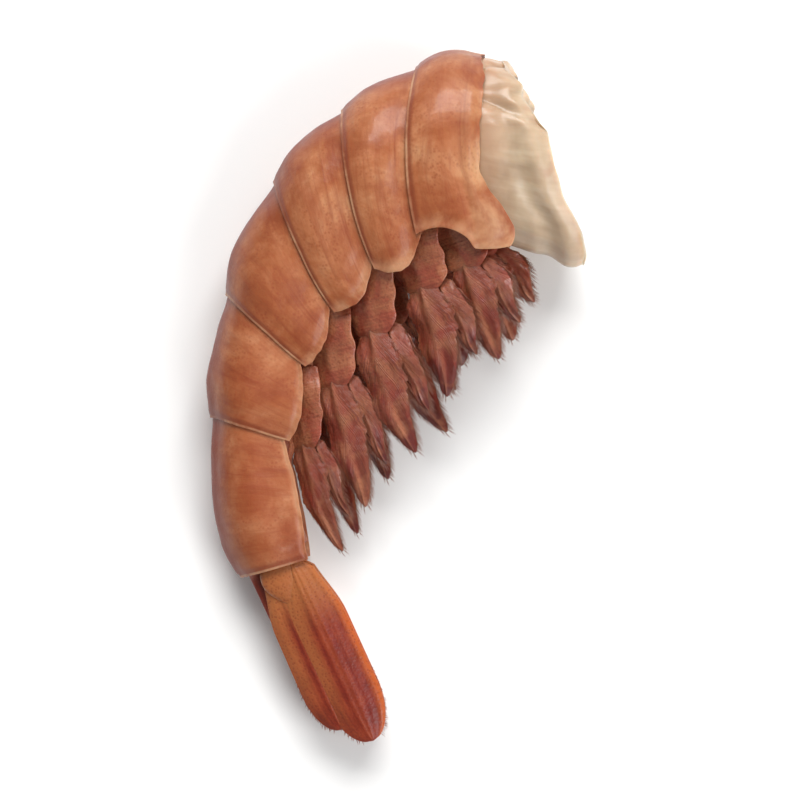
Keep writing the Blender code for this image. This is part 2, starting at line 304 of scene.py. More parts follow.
# Torn ends of bundles, about 4 mm apart, and of finer ones, about 1 mm apart
ring = columns(np.cos(angle), np.sin(angle), 0)
teeth = 1.1 * lumps(ring, 0.5, 3.1) + 0.5 * lumps(ring, 0.16, 7.7) * (1 - 0.75 * low**4)
for count, phase in zip((5, 8, 13), phases):
    teeth += 0.6 * np.sin(count * angle + phase) / (1 + 0.15 * count)
# The long tip at the belly is blunt and even
rim += teeth * (1 - low**6) - 1.4 * np.exp(-(1 - low) / 0.05)

# The torn face is dished, with the ends of the bundles standing out of it
in_face = share < FACE_SHARE
size_face = np.sin(math.pi / 2 * np.clip(share / FACE_SHARE, 0, 1)) ** 0.8
across, down = size_face * np.sin(angle), size_face * np.cos(angle)
ends = np.cos(5.5 * across) * np.cos(4.5 * down + 1.2) * (1 - size_face**4)
flat_face = columns(across, down, 0)
fibre_ends = lumps(flat_face, 0.11, 1.3) + 0.6 * lumps(flat_face, 0.045, 5.2)
fibre_ends *= 1 - size_face**6
deep = -TEAR_FLANK + 1.0
s_face = deep + (-rim + 0.15 - deep) * size_face**1.7 - 0.7 * ends - 0.36 * fibre_ends
# The flanks run from the torn rim to the rear, which is rounded off
REAR_START = 1 - REAR_SHARE
behind = share > REAR_START
along = np.clip((share - FACE_SHARE) / (REAR_START - FACE_SHARE), 0, 1) ** 1.7
s_side = -rim + (FLESH_REAR + rim) * along
past_rear = np.clip(share - REAR_START, 0, 1) / REAR_SHARE
size_rear = np.sqrt(np.clip(1 - past_rear**2, 0, 1))
s = np.where(in_face, s_face, np.where(behind, FLESH_REAR + 1.5 * past_rear, s_side))
from_rim = np.where(in_face, 0, s + rim)
size_side = RIM_SIZE + (1 - RIM_SIZE) * step(from_rim / 3.0)
size = np.where(in_face, size_face * RIM_SIZE, np.where(behind, size_rear, size_side))
# The end of the muscle narrows into the tail fan
size = size * (1 - 0.35 * step((s - TAIL_JOINT + 1.5) / 2.5))

belly, side, face_belly, face_side = section(s, angle)
# Bundles run along the body: ridges about 2 mm wide, with fibres a quarter as wide on them.
# They are strongest at the torn end and fade where the shell begins.
run = columns(np.cos(angle), np.sin(angle), s / 38)
torn = 1 - 0.75 * step((from_rim - 4) / 10)
creases = np.exp(-(lumps(run, 0.8, 6.3) / 0.07) ** 2) * (1 - 0.8 * low**8)
relief = 0.45 * lumps(run, 0.5, 9.4) - 0.5 * creases + 0.09 * lumps(run, 0.12, 2.2)
cross_folds = columns(np.cos(angle) * 0.5, np.sin(angle) * 0.5, s / 3.2)
relief = torn * (relief + 0.12 * lumps(cross_folds, 0.6, 4.4))
# The muscle swells just behind the torn rim and has a long crease behind that
swell = 0.3 * np.exp(-((from_rim - 1.8) / 1.3) ** 2)
crease = 0.35 * np.exp(-((from_rim - 4.6) / 1.6) ** 2)
relief += (swell - crease) * step(low * 4)
# At the shell's front edge it is pressed in a little, and further back it is smooth
relief = np.where(in_face | behind, 0, relief) - 0.35 * step((s + 0.3) / 1.5)
relief = relief * step((10 - s) / 4)
belly = belly * size + face_belly * relief
side = side * size + face_side * relief
move_points(flesh, on_body(s, belly, side, np.maximum(relief, 0)))
# The layer "UVMap" holds millimetres round from the back and along the body. The layer "torn end"
# holds the share of the torn face, and millimetres from the vein.
set_uv(flesh, "UVMap", angle * MEAN_RADIUS, s)
torn_share = np.where(in_face, step((1 - size_face) / 0.12), 0)
set_uv(flesh, "torn end", torn_share, np.hypot(belly + VEIN_DEPTH * to_back_at(s), side))

raw_muscle, tree = finish_of("raw prawn muscle")
# Wet raw muscle lets light in for a few millimetres, so it looks soft: cream where the fibres
# are thick, grey-green where it is clear, a little pink where it lay against the shell.
place = node(tree, "ShaderNodeTexCoord").outputs["Object"]
flesh_map = node(tree, "ShaderNodeUVMap", uv_map="UVMap")
round_flesh, along_flesh = node(tree, "ShaderNodeSeparateXYZ", {"Vector": flesh_map}).outputs[:2]
# Fibre bundles are about 1.2 mm wide and 12 mm long
stretch = node(tree, "ShaderNodeMapping", {"Vector": flesh_map, "Scale": (1 / 1.2, 1 / 12, 1)})
fibre = node(tree, "ShaderNodeTexNoise", {"Vector": stretch, "Scale": 1.0, "Detail": 3.0})
patch = node(tree, "ShaderNodeTexNoise", {
    "Vector": place, "Scale": 1 / 0.0055, "Detail": 3.0, "Distortion": 0.6})
clear = node(tree, "ShaderNodeValToRGB", {"Fac": patch},
             [(0.33, "#97836A"), (0.47, "#B29A7E"), (0.62, "#C9B196"), (0.75, "#BC9276")])
threads = node(tree, "ShaderNodeValToRGB", {"Fac": fibre},
               [(0.35, "#A58B70"), (0.55, "#C0A98D"), (0.7, "#D6C4AA")])
muscle = node(tree, "ShaderNodeMix", {0: 0.55, 6: clear, 7: threads}, data_type="RGBA")
# The long tip at the belly is thin; it is painted paler, a painted light where it lies in shade
off_back = node(tree, "ShaderNodeMath", {0: round_flesh}, operation="ABSOLUTE")
tip = node(tree, "ShaderNodeMapRange", {
    "Value": off_back, "From Min": 15.0, "From Max": 21.0, "To Max": 0.5})
flank = node(tree, "ShaderNodeMix", {0: tip, 6: muscle, 7: linear("#D6BDA2")}, data_type="RGBA")
# On the torn end the bundles are cut across: pale islands about 1.6 mm wide with clear gaps
end_map = node(tree, "ShaderNodeUVMap", uv_map="torn end")
on_face, off_vein = node(tree, "ShaderNodeSeparateXYZ", {"Vector": end_map}).outputs[:2]
bent = node(tree, "ShaderNodeMix", {
    0: 0.0012, 4: place, 5: patch.outputs["Color"]}, data_type="VECTOR")
islands = node(tree, "ShaderNodeTexVoronoi", {"Vector": bent, "Scale": 1 / 0.0016},
               feature="SMOOTH_F1")
cut = node(tree, "ShaderNodeValToRGB", {"Fac": islands},
           [(0.15, "#CDB79C"), (0.4, "#C0A88C"), (0.6, "#AA9278"), (0.8, "#96806A")])
# The dark vein, 1.5 mm thick, runs through the flesh just under the back
vein = node(tree, "ShaderNodeMapRange", {
    "Value": off_vein, "From Min": 1.0, "From Max": 0.5, "To Max": 0.85},
    interpolation_type="SMOOTHSTEP")
veined = node(tree, "ShaderNodeMix", {0: vein, 6: cut, 7: linear("#3E2C22")}, data_type="RGBA")
colour = node(tree, "ShaderNodeMix", {0: on_face, 6: flank, 7: veined}, data_type="RGBA")
# It is tan where the shell covers it, and red brown at its rear end
for start, full, most, code in ((-5.0, 1.0, 0.75, "#A9795A"), (56.0, 63.0, 0.9, "#8A452F")):
    covered = node(tree, "ShaderNodeMapRange", {
        "Value": along_flesh, "From Min": start, "From Max": full, "To Max": most})
    colour = node(tree, "ShaderNodeMix", {
        0: covered, 6: colour, 7: linear(code)}, data_type="RGBA")
grain = node(tree, "ShaderNodeTexNoise", {"Vector": place, "Scale": 1 / 0.0014, "Detail": 1.0})
rise = node(tree, "ShaderNodeMath", {0: fibre, 1: grain}, operation="ADD")
bump = node(tree, "ShaderNodeBump", {"Height": rise, "Strength": 0.3, "Distance": 0.0003})
rough = node(tree, "ShaderNodeMapRange", {
    "Value": patch, "From Min": 0.3, "From Max": 0.7, "To Min": 0.3, "To Max": 0.46})
surface = node(tree, "ShaderNodeBsdfPrincipled", {
    "Base Color": colour, "Roughness": rough, "IOR": 1.38, "Normal": bump,
    "Subsurface Weight": 0.6, "Subsurface Radius": (1.0, 0.6, 0.4), "Subsurface Scale": 0.002,
    "Coat Weight": 0.35, "Coat Roughness": 0.2})
node(tree, "ShaderNodeOutputMaterial", {"Surface": surface})
hand_over(flesh, "torn_flesh", raw_muscle, "flesh")


# The shell: six thin plates of chitin that overlap like roof tiles, each bent over the back and
# hanging down both flanks as a rounded lobe. The skin under them holds the plates together and
# carries the red pigment, in small stars that gather into streaks. They are wet and glossy.

SHELL_THICKNESS = 0.4
FRONT_GAP, REAR_GAP = 0.25, SHELL_ROOM
TUCK, LAP = 1.3, 1.0  # how far a plate runs past its joints, at its front and at its rear
# The edges of the plates lean back towards the belly, by these degrees
EDGE_LEAN = [math.tan(math.radians(lean)) for lean in (0, 27, 32, 36, 30, 18, 5)]
HANG_ANGLE = math.radians(98)  # round from the back, where the flaps begin to hang free
FLAP_REACH = (16.4, 12.4, 10.2, 8.0, 6.4, 5.2)
FIRST_FLAP_FORWARD = 5.4
KEEL = np.array([0, 0, 0, 0, 0.1, 0.35, 0.6, 0.5, 0.3])  # height of the ridge on the back
PLATE_ACROSS, PLATE_ALONG = 168, 56
NEXT_STREAKS = 40  # shifts the pigment streaks on from plate to plate, so that each has its own
ON_FLESH = 1 - 4 / 12  # share of a half plate that lies on the flesh; the rest hangs free
keel_at = smooth_through(STATIONS, KEEL)

plate_shell, tree = finish_of("wet prawn shell")
# The layer "plate" holds millimetres from a plate's free rear edge, and across from the back.
# The layer "body" holds the share of the way to the tail, and the share round from back to
# belly, which runs on from 0.54 to 1.04 down the free flap.
place = node(tree, "ShaderNodeTexCoord").outputs["Object"]
plate_map = node(tree, "ShaderNodeUVMap", uv_map="plate")
body_map = node(tree, "ShaderNodeUVMap", uv_map="body")
off_edge = node(tree, "ShaderNodeSeparateXYZ", {"Vector": plate_map}).outputs["X"]
to_tail, round_body = node(tree, "ShaderNodeSeparateXYZ", {"Vector": body_map}).outputs[:2]
# Cloudy patches about 7 mm across, where more or less of the pale flesh shows through
cloud = node(tree, "ShaderNodeTexNoise", {
    "Vector": place, "Scale": 1 / 0.007, "Detail": 4.0, "Roughness": 0.62, "Distortion": 0.4})
base = node(tree, "ShaderNodeValToRGB", {"Fac": cloud},
            [(0.32, "#8D4625"), (0.45, "#9E5832"), (0.57, "#AE6C45"), (0.7, "#C0875E")])
# Pigment streaks run from back to belly, about 1.3 mm apart and 7 mm long
stretch = node(tree, "ShaderNodeMapping", {"Vector": plate_map, "Scale": (1 / 1.3, 1 / 7, 1)})
streak = node(tree, "ShaderNodeTexNoise", {
    "Vector": stretch, "Scale": 1.0, "Detail": 4.0, "Roughness": 0.6, "Distortion": 0.8})
streaks = node(tree, "ShaderNodeMapRange", {
    "Value": streak, "From Min": 0.48, "From Max": 0.7, "To Max": 0.5})
# Pigment stars, 0.3 mm dots about 0.45 mm apart, thick in some places and missing in others
dots = node(tree, "ShaderNodeTexVoronoi", {"Vector": place, "Scale": 1 / 0.00045})
spots = node(tree, "ShaderNodeMapRange", {
    "Value": dots, "From Min": 0.55, "From Max": 0.15, "To Max": 0.65})
crowd = node(tree, "ShaderNodeTexNoise", {"Vector": place, "Scale": 1 / 0.0035, "Detail": 3.0})
crowded = node(tree, "ShaderNodeMapRange", {
    "Value": crowd, "From Min": 0.4, "From Max": 0.64, "To Max": 0.7})
speckle = node(tree, "ShaderNodeMath", {0: spots, 1: crowded}, operation="MULTIPLY")
redness = node(tree, "ShaderNodeMath", {0: streaks, 1: speckle}, operation="MAXIMUM")
# The middle of the back is red-brown, partly its own pigment and partly painted shade where the
# back curves away, and the shell reddens towards the tail
back = node(tree, "ShaderNodeMapRange", {
    "Value": round_body, "From Min": 0.24, "From Max": 0.05, "To Max": 0.9},
    interpolation_type="SMOOTHSTEP")
rearward = node(tree, "ShaderNodeMapRange", {
    "Value": to_tail, "From Min": 0.3, "From Max": 0.8, "To Max": 0.42})
# A pale, clear rim 0.3 mm wide on the free rear edge and on the edge of the flap, broken up
# where it is worn, with a thin red line in front of it. Its paleness is partly the clear chitin
# and partly painted highlight, where the raised edge would catch the light
red_line = node(tree, "ShaderNodeMapRange", {
    "Value": off_edge, "From Min": 1.3, "From Max": 0.6, "To Max": 0.6},
    interpolation_type="SMOOTHSTEP")
rear_rim_and_highlight = node(tree, "ShaderNodeMapRange", {
    "Value": off_edge, "From Min": 0.42, "From Max": 0.2}, interpolation_type="SMOOTHSTEP")
flap_rim_and_highlight = node(tree, "ShaderNodeMapRange", {
    "Value": round_body, "From Min": 0.93, "From Max": 1.02, "To Max": 0.8},
    interpolation_type="SMOOTHSTEP")
rims_and_highlight = node(tree, "ShaderNodeMath", {0: rear_rim_and_highlight, 1: flap_rim_and_highlight}, operation="MAXIMUM")
worn = node(tree, "ShaderNodeMapRange", {
    "Value": cloud, "From Min": 0.38, "From Max": 0.6, "To Min": 0.1, "To Max": 0.75})
pale_rim_and_highlight = node(tree, "ShaderNodeMath", {0: rims_and_highlight, 1: worn}, operation="MULTIPLY")
# The front of the first plate is torn thin, so the pale flesh shows through it
front = node(tree, "ShaderNodeMapRange", {
    "Value": to_tail, "From Min": 0.05, "From Max": -0.03}, interpolation_type="SMOOTHSTEP")
thin_front = node(tree, "ShaderNodeMath", {0: front, 1: worn}, operation="MULTIPLY")
# Each of these lays its colour over the ones before
colour = base
for cover, code in (
    # The back's red-brown is partly painted shade where the back curves away from the light
    (redness, "#7E3017"), (back, "#742110"), (rearward, "#8E3D1B"), (red_line, "#7C341C"),
    # The pale rim colour is partly a painted highlight on the plates' raised edges
    (pale_rim_and_highlight, "#C2936F"), (thin_front, "#C89D74"),
):
    colour = node(tree, "ShaderNodeMix", {0: cover, 6: colour, 7: linear(code)}, data_type="RGBA")
pits = node(tree, "ShaderNodeTexNoise", {
    "Vector": place, "Scale": 1 / 0.0005, "Detail": 3.0, "Roughness": 0.55})
wrinkle = node(tree, "ShaderNodeTexNoise", {"Vector": stretch, "Scale": 2.0, "Detail": 3.0})
height = node(tree, "ShaderNodeMath", {0: pits, 1: wrinkle}, operation="ADD")
bump = node(tree, "ShaderNodeBump", {"Height": height, "Strength": 0.3, "Distance": 0.00015})
rough = node(tree, "ShaderNodeMapRange", {
    "Value": crowd, "From Min": 0.3, "From Max": 0.7, "To Min": 0.36, "To Max": 0.56})
surface = node(tree, "ShaderNodeBsdfPrincipled", {
    "Base Color": colour, "Roughness": rough, "IOR": 1.36, "Normal": bump,
    "Subsurface Weight": 0.25, "Subsurface Radius": (1.0, 0.4, 0.25), "Subsurface Scale": 0.0008,
    "Coat Weight": 0.2, "Coat Roughness": 0.12})
node(tree, "ShaderNodeOutputMaterial", {"Surface": surface})


def shaped_by(piece, kind, **settings):
    """Adds a modifier with its settings to a piece and applies it."""
    modifier = piece.modifiers.new(kind.lower(), kind)
    for name, value in settings.items():
        setattr(modifier, name, value)
    bpy.context.view_layer.objects.active = piece
    bpy.ops.object.modifier_apply(modifier=modifier.name)


for number in range(6):
    first = number == 0
    start = JOINTS[number] - (0 if first else TUCK)
    end = JOINTS[number + 1] + LAP
    bpy.ops.mesh.primitive_grid_add(
        x_subdivisions=PLATE_ALONG, y_subdivisions=PLATE_ACROSS, size=2)
    plate = bpy.context.active_object
    sheet = points_of(plate)
    along, across = (sheet[:, 0] + 1) / 2, sheet[:, 1]
    left_right = np.copysign(1, across)
    angle = np.minimum(np.abs(across) / ON_FLESH, 1) * HANG_ANGLE * left_right
    hang = np.maximum(0, (np.abs(across) - ON_FLESH) / (1 - ON_FLESH))
    middle = start + (end - start) * along
    level = section(middle, angle)[0]
    if first:
        corner = 0.16 * np.maximum(0, 1 - along / 0.3) ** 2
        lobe = 0.62 + 0.4 * (1 - along) ** 1.4 - corner
    else:
        lobe = 0.7 + 0.32 * np.sin(math.pi * (0.06 + 0.86 * along)) ** 0.9
    wavy = columns(9 * along, left_right * 3, 0)
    waves = (0.35 if first else 0.22) * lumps(wavy, 1.6 if first else 1.1, 2.7 + number)
    drop = hang * (FLAP_REACH[number] * lobe + waves - level)
    lean = EDGE_LEAN[number] * (1 - along) + EDGE_LEAN[number + 1] * along
    s = middle + lean * (level + drop)
    raised = step((along - 0.22) / 0.56)
    welt = 0
    if first:
        # Its side flap points forwards, and its front edge is torn uneven
        flap = step((hang - 0.2) / 0.75) * (1 - 0.22 * hang**8)
        s = s - FIRST_FLAP_FORWARD * flap * (1 - along) ** 1.6
        uneven = columns(6 * across, 0, 0)
        tear = 0.5 * lumps(uneven, 0.9, 8.2) + 0.2 * lumps(uneven, 0.25, 3.6)
        s = s - tear * (1 - along) ** 4
        raised = step(along / 0.6)
        # The front lobe is rolled: a soft welt runs along its front edge
        welt = 0.45 * np.exp(-((along - 0.15) / 0.09) ** 2)
        welt *= step(np.abs(angle) / 1.3 - 0.3) * (1 - hang**4)
    belly, side, face_belly, face_side = section(s, angle)
    gap = FRONT_GAP + (REAR_GAP - FRONT_GAP) * raised
    # Each plate swells a little; its free rear edge bends down to the next plate, with a small lip
    gap = gap + 0.12 * step((along - 0.18) / 0.35) * step((1 - along) / 0.35)
    from_edge = (1 - along) * (end - start)
    gap = gap - 0.4 * np.exp(-(from_edge / 2.2) ** 2) + 0.04 * np.exp(-(from_edge / 0.3) ** 2)
    belly = belly + face_belly * gap - keel_at(s) * np.exp(-(angle / 0.3) ** 2) + drop
    # The lobes hang in, and the last millimetre of their edge turns out again
    turned_out = 0.18 * step((hang - 0.88) / 0.12)
    side = side + face_side * gap + (turned_out + welt - 0.12 * drop) * left_right
    move_points(plate, on_body(s, belly, side, gap))
    girth = np.abs(across) * (math.pi * 0.6 * width_at(s) / 2 + drop * 0.3)
    set_uv(plate, "plate", from_edge, girth * left_right + NEXT_STREAKS * number)
    set_uv(plate, "body", s / (TAIL_JOINT + TAIL_LENGTH), np.abs(angle) / math.pi + 0.5 * hang)
    # Soft dents, the same field for all plates, so that neighbours keep their distance
    points = points_of(plate)
    normals = np.empty(3 * len(points))
    plate.data.vertex_normals.foreach_get("vector", normals)
    dents = 0.12 * lumps(points / MM, 4.5, 0.7) + 0.05 * lumps(points / MM, 1.6, 5.1)
    points += normals.reshape(-1, 3) * dents[:, None] * MM
    points[:, 2] = np.maximum(points[:, 2], (FLOOR_TO_FLESH - SHELL_ROOM) * MM)
    move_points(plate, points)
    # The wall thins out towards its free edges and towards the front, under the plate before it
    full = plate.vertex_groups.new(name="full wall")
    thickness = 0.45 + 0.55 * np.minimum(step(from_edge), step((1 - hang) / 0.25))
    covered = 0 if first else 2.2
    thickness = np.minimum(thickness, 0.4 + 0.6 * step((along * (end - start) - covered) / 3.5))
    for i, share in enumerate(thickness):
        full.add([i], float(share), "REPLACE")
    shaped_by(plate, "SOLIDIFY", thickness=SHELL_THICKNESS * MM, offset=1, use_even_offset=True,
              vertex_group=full.name)
    shaped_by(plate, "BEVEL", width=0.05 * MM, segments=2, limit_method="ANGLE",
              angle_limit=math.radians(60))
    hand_over(plate, f"plate_{number + 1}", plate_shell, f"shell_plate_{number + 1}")


# The belly skin: a soft, folded membrane between the side flaps of the two flanks, which closes
# the underside and carries the legs. A low bar crosses it at each plate. It is mauve brown, and
# the same skin runs on over the legs.

leg_skin, tree = finish_of("wet swimming leg")
# Thin soft skin over almost clear flesh: mauve brown, paler and tan at the root, dark red at the
# tip, with a pale rib. The layer's first number runs from 0 at the root to 1 at the tip of a
# blade and past 1.1 in its bristles, and its second from -1 to 1 across the blade.
place = node(tree, "ShaderNodeTexCoord").outputs["Object"]
leg_map = node(tree, "ShaderNodeUVMap", uv_map="UVMap")
to_tip, off_middle = node(tree, "ShaderNodeSeparateXYZ", {"Vector": leg_map}).outputs[:2]
base = node(tree, "ShaderNodeValToRGB", {"Fac": to_tip},
            [(0.0, "#9A5238"), (0.32, "#91422E"), (0.7, "#7E2F21"), (1.0, "#561410")])
patch = node(tree, "ShaderNodeTexNoise", {
    "Vector": place, "Scale": 1 / 0.003, "Detail": 4.0, "Distortion": 0.8})
blotch = node(tree, "ShaderNodeMapRange", {
    "Value": patch, "From Min": 0.42, "From Max": 0.62, "To Max": 0.85})
# Bristles lie stuck to the blade in slanting lines, about 0.3 mm apart, from the rib outwards
off_rib = node(tree, "ShaderNodeMath", {0: off_middle}, operation="ABSOLUTE")
slanted = node(tree, "ShaderNodeMath", {0: off_rib, 1: -0.42, 2: to_tip}, operation="MULTIPLY_ADD")
count = node(tree, "ShaderNodeMath", {0: slanted, 1: 16 / 0.28}, operation="MULTIPLY")
rows = node(tree, "ShaderNodeTexNoise", {
    "W": count, "Scale": 1.0, "Detail": 1.0}, noise_dimensions="1D")
beside = node(tree, "ShaderNodeMapRange", {
    "Value": off_rib, "From Min": 0.15, "From Max": 0.6, "To Max": 0.8})
stuck = node(tree, "ShaderNodeMapRange", {
    "Value": rows, "From Min": 0.42, "From Max": 0.62, "To Max": beside})
rib = node(tree, "ShaderNodeMapRange", {
    "Value": off_rib, "From Min": 0.24, "From Max": 0.04, "To Max": 0.3},
    interpolation_type="SMOOTHSTEP")
# Pigment stars, 0.25 mm dots, crowded in some places
stars = node(tree, "ShaderNodeTexVoronoi", {"Vector": place, "Scale": 1 / 0.0004})
star = node(tree, "ShaderNodeMapRange", {
    "Value": stars, "From Min": 0.45, "From Max": 0.15, "To Max": 0.55})
starred = node(tree, "ShaderNodeMath", {0: star, 1: patch}, operation="MULTIPLY")
bristle = node(tree, "ShaderNodeMapRange", {"Value": to_tip, "From Min": 1.02, "From Max": 1.3})
colour = base
for cover, code in (
    (blotch, "#A0603F"), (stuck, "#6A2A1F"), (rib, "#B07253"), (starred, "#5C1710"),
    (bristle, "#94503A"),
):
    colour = node(tree, "ShaderNodeMix", {0: cover, 6: colour, 7: linear(code)}, data_type="RGBA")
fine = node(tree, "ShaderNodeTexNoise", {"Vector": place, "Scale": 1 / 0.0005})
height = node(tree, "ShaderNodeMath", {0: fine, 1: rows}, operation="ADD")
bump = node(tree, "ShaderNodeBump", {"Height": height, "Strength": 0.6, "Distance": 0.0002})
rough = node(tree, "ShaderNodeMapRange", {
    "Value": patch, "From Min": 0.3, "From Max": 0.7, "To Min": 0.3, "To Max": 0.5})
surface = node(tree, "ShaderNodeBsdfPrincipled", {
    "Base Color": colour, "Roughness": rough, "IOR": 1.45, "Normal": bump,
    "Subsurface Weight": 0.3, "Subsurface Radius": (1.0, 0.45, 0.35), "Subsurface Scale": 0.0009,
    "Coat Weight": 0.35, "Coat Roughness": 0.2})
node(tree, "ShaderNodeOutputMaterial", {"Surface": surface})

SKIN_THICKNESS = 0.3
SKIN_FRONT, SKIN_LENGTH = -1.5, TAIL_JOINT + 0.6
SKIN_SWELL = ([-1.5, 3, 20, 45, 60, 68], [0.0, 3.6, 3.8, 2.6, 0.7, 0.6])  # off the flesh, along s
SKIN_TONE = 0.12  # its place on the layer's first number, near a leg's root
bpy.ops.object.select_all(action="DESELECT")
bpy.ops.mesh.primitive_grid_add(x_subdivisions=240, y_subdivisions=36, size=2)
belly_skin = bpy.context.active_object
sheet = points_of(belly_skin)
aside = sheet[:, 1]
s = SKIN_FRONT + SKIN_LENGTH * (sheet[:, 0] + 1) / 2
s += 0.45 * np.interp(s, JOINTS, [0.2, *EDGE_LEAN[1:-1], 0]) * to_belly_at(s)
round_off = np.sqrt(np.maximum(0, 1 - (0.86 * aside) ** 2))
bars = sum(np.exp(-((s - joint - 3.5) / 0.9) ** 2) for joint in JOINTS[:6])
folds = 0.3 * lumps(columns(s, 5 * aside, 0), 1.3, 2.5)
swell = np.interp(s, *SKIN_SWELL) + 0.35 * bars + folds
depth = to_belly_at(s) * round_off**0.9 + swell * np.cos(0.5 * math.pi * aside) ** 0.6
move_points(belly_skin, on_body(s, depth, aside * 0.4 * width_at(s), 0))
set_uv(belly_skin, "UVMap", SKIN_TONE, 0.5 + 0.3 * aside)
shaped_by(belly_skin, "SOLIDIFY", thickness=SKIN_THICKNESS * MM, offset=-1)
belly_skin.name = belly_skin.data.name = "belly_skin"
belly_skin.data.materials.append(leg_skin)
belly_skin.data.shade_smooth()
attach(belly_skin, "root")


# The swimming legs: five pairs of soft limbs, one pair to each of the first five plates. Each has
# a flat root and two thin blades, a long outer and a short inner one, with a rib and a fringe of
# bristles. Out of water the bristles stick together in points, and the legs lie in a bunch.

LEG_HEADING = (287, 286, 285, 284, 282)  # degrees, as the twist
LEG_LENGTH = (20.0, 22.5, 25.5, 27.5, 23.0)
LEG_WIDTH = (7.0, 7.4, 7.2, 6.6, 5.4)
LEG_PLACE = (0.3, 0.3, 0.25, 0.4, 0.45)  # of the way along its plate
LEG_TWIST = 31
LEG_SPREAD = 0.27  # of the body's width, to each side of its middle
LEG_CLEAR = 0.3  # from the flesh to the root
ROOT_SHARE = 0.4  # of a leg's length, in its root
ROOT_TUCK = 2.4  # more of the root, out of sight in the skin of the belly
ROOT_FADE = 36  # how long a root would be to run through all the colours of a blade
PATTERN_LENGTH, PATTERN_WIDTH = 25.5, 7.2  # the leg that the others are copied from
BRISTLE_REACH, BRISTLE_THICKNESS = 2.1, 0.024
THIRDS_OF_A_TURN = (0, 2.094, 4.189)


def blade(length, width, thick, camber, outline, ribs, segments, rings, edge):
    """A ball drawn out to a thin blade: X to its tip, Y across, Z out of its face.

    A rib has its place and its width, in half widths of the blade, and its height.
    """
    bpy.ops.mesh.primitive_uv_sphere_add(segments=segments, ring_count=rings, radius=1)
    piece = bpy.context.active_object
    share, turn = round_ball(piece)
    across, face = np.cos(turn), np.sin(turn)
    ends = np.minimum(1, np.sqrt(np.sin(math.pi * share) * 2.5))
    half = width / 2 * outline(share) * np.minimum(1, np.sqrt(share * 14))
    depth = thick / 2 * (edge + (1 - edge) * (1 - across**2)) * ends
    raised = sum(high * np.exp(-((across - off) / wide) ** 2) for off, wide, high in ribs)
    z = np.sign(face) * np.abs(face) ** 0.5 * (depth + raised * ends) - camber * across**2 * half
    move_points(piece, columns(share * length, across * half, z) * MM)
    piece.data.flip_normals()  # drawing the ball out from its lower pole to X turns it inside out
    # The two faces have places of their own on the layer
    set_uv(piece, "UVMap", share, across * (1 - 0.02 * np.sign(face)))
    return piece


def fringe(roots, tips, thick, sag, layer_start):
    """Bristles from roots to tips, each a thin three-sided spine that bends down a little."""
    points, faces, layer = [], [], []
    for root, tip in zip(roots, tips):
        run = tip - root
        side = run.cross(Vector((0, 0, 1))).normalized()
        up = side.cross(run).normalized()
        first = len(points)
        for t, width in ((0, 1.0), (0.5, 0.75)):
            middle = root + run * t - up * sag * t * t * run.length
            for turn in THIRDS_OF_A_TURN:
                points.append(middle + (side * math.cos(turn) + up * math.sin(turn)) * thick * width)
                layer.append(layer_start + 0.6 * t)
        points.append(root + run - up * sag * run.length)
        layer.append(layer_start + 0.6)
        faces.append((first, first + 1, first + 2))
        for k in range(3):
            a, b = first + k, first + (k + 1) % 3
            faces += [(a + 3, b + 3, b, a), (first + 6, b + 3, a + 3)]
    mesh = bpy.data.meshes.new("bristles")
    mesh.from_pydata([p * MM for p in points], [], faces)
    piece = bpy.data.objects.new("bristles", mesh)
    scene.collection.objects.link(piece)
    set_uv(piece, "UVMap", layer, 0)
    return piece


def margin_bristles(length, width, camber, outline, count, reach, start, end, rng, slant, clump):
    """Bristle roots and tips along both margins of a blade; wet, they gather in clumps."""
    roots, tips = [], []
    for side in (1, -1):
        for i in range(count):
            t = start + (end - start) * (i + 0.5) / count
            half = width / 2 * float(outline(np.array(t)))
            root = Vector((t * length, side * half * 0.93, -camber * half))
            if i % clump == 0:
                lean = math.radians(slant + rng.uniform(-9, 9)) * (1 - 0.45 * t)
                far = reach * rng.uniform(0.75, 1.15)
                far *= 0.55 + 0.45 * math.sin(math.pi * min(1, t * 1.1))
                aim = Vector((math.cos(lean), side * math.sin(lean), rng.uniform(-0.22, 0.1)))
                half_way = root + Vector((clump / 2 * (end - start) / count * length, 0, 0))
                clump_tip = half_way + far * aim
            own = root + (clump_tip - root) * rng.uniform(0.8, 1.0)
            own += Vector((rng.uniform(-0.2, 0.3), rng.uniform(-0.15, 0.15), rng.uniform(-0.1, 0.1)))
            roots.append(root)
            tips.append(own)
    return roots, tips


def join(*pieces):
    """Makes these pieces one, under the name of the first."""
    select_only(*pieces)
    bpy.ops.object.join()
    return pieces[0]


def copy_of(piece):
    """A copy of a piece, with a mesh of its own."""
    select_only(piece)
    bpy.ops.object.duplicate()
    return bpy.context.active_object


def turned(piece, shift, *turns):
    """Moves the mesh itself, so that the object stays at the origin."""
    matrix = Matrix.Translation(Vector(shift) * MM)
    for degrees, axis in turns:
        matrix = matrix @ Matrix.Rotation(math.radians(degrees), 4, axis)
    piece.data.transform(matrix)


def broad_root(t):
    """The width of a leg's root: broad where skin ties it to the belly, less so at the joint."""
    return (1.15 - 0.17 * step(t / 0.9)) * np.sqrt(1 - t**9)


def lance(t):
    """The width of a leg's blade: narrow at the joint, widest before the middle, a long tip."""
    taper = 1 - 0.86 * np.clip((t - 0.26) / 0.74, 0, 1) ** 1.8
    return (0.62 + 0.38 * step(t / 0.3)) * taper * np.minimum(1, np.sqrt((1 - t) * 16))


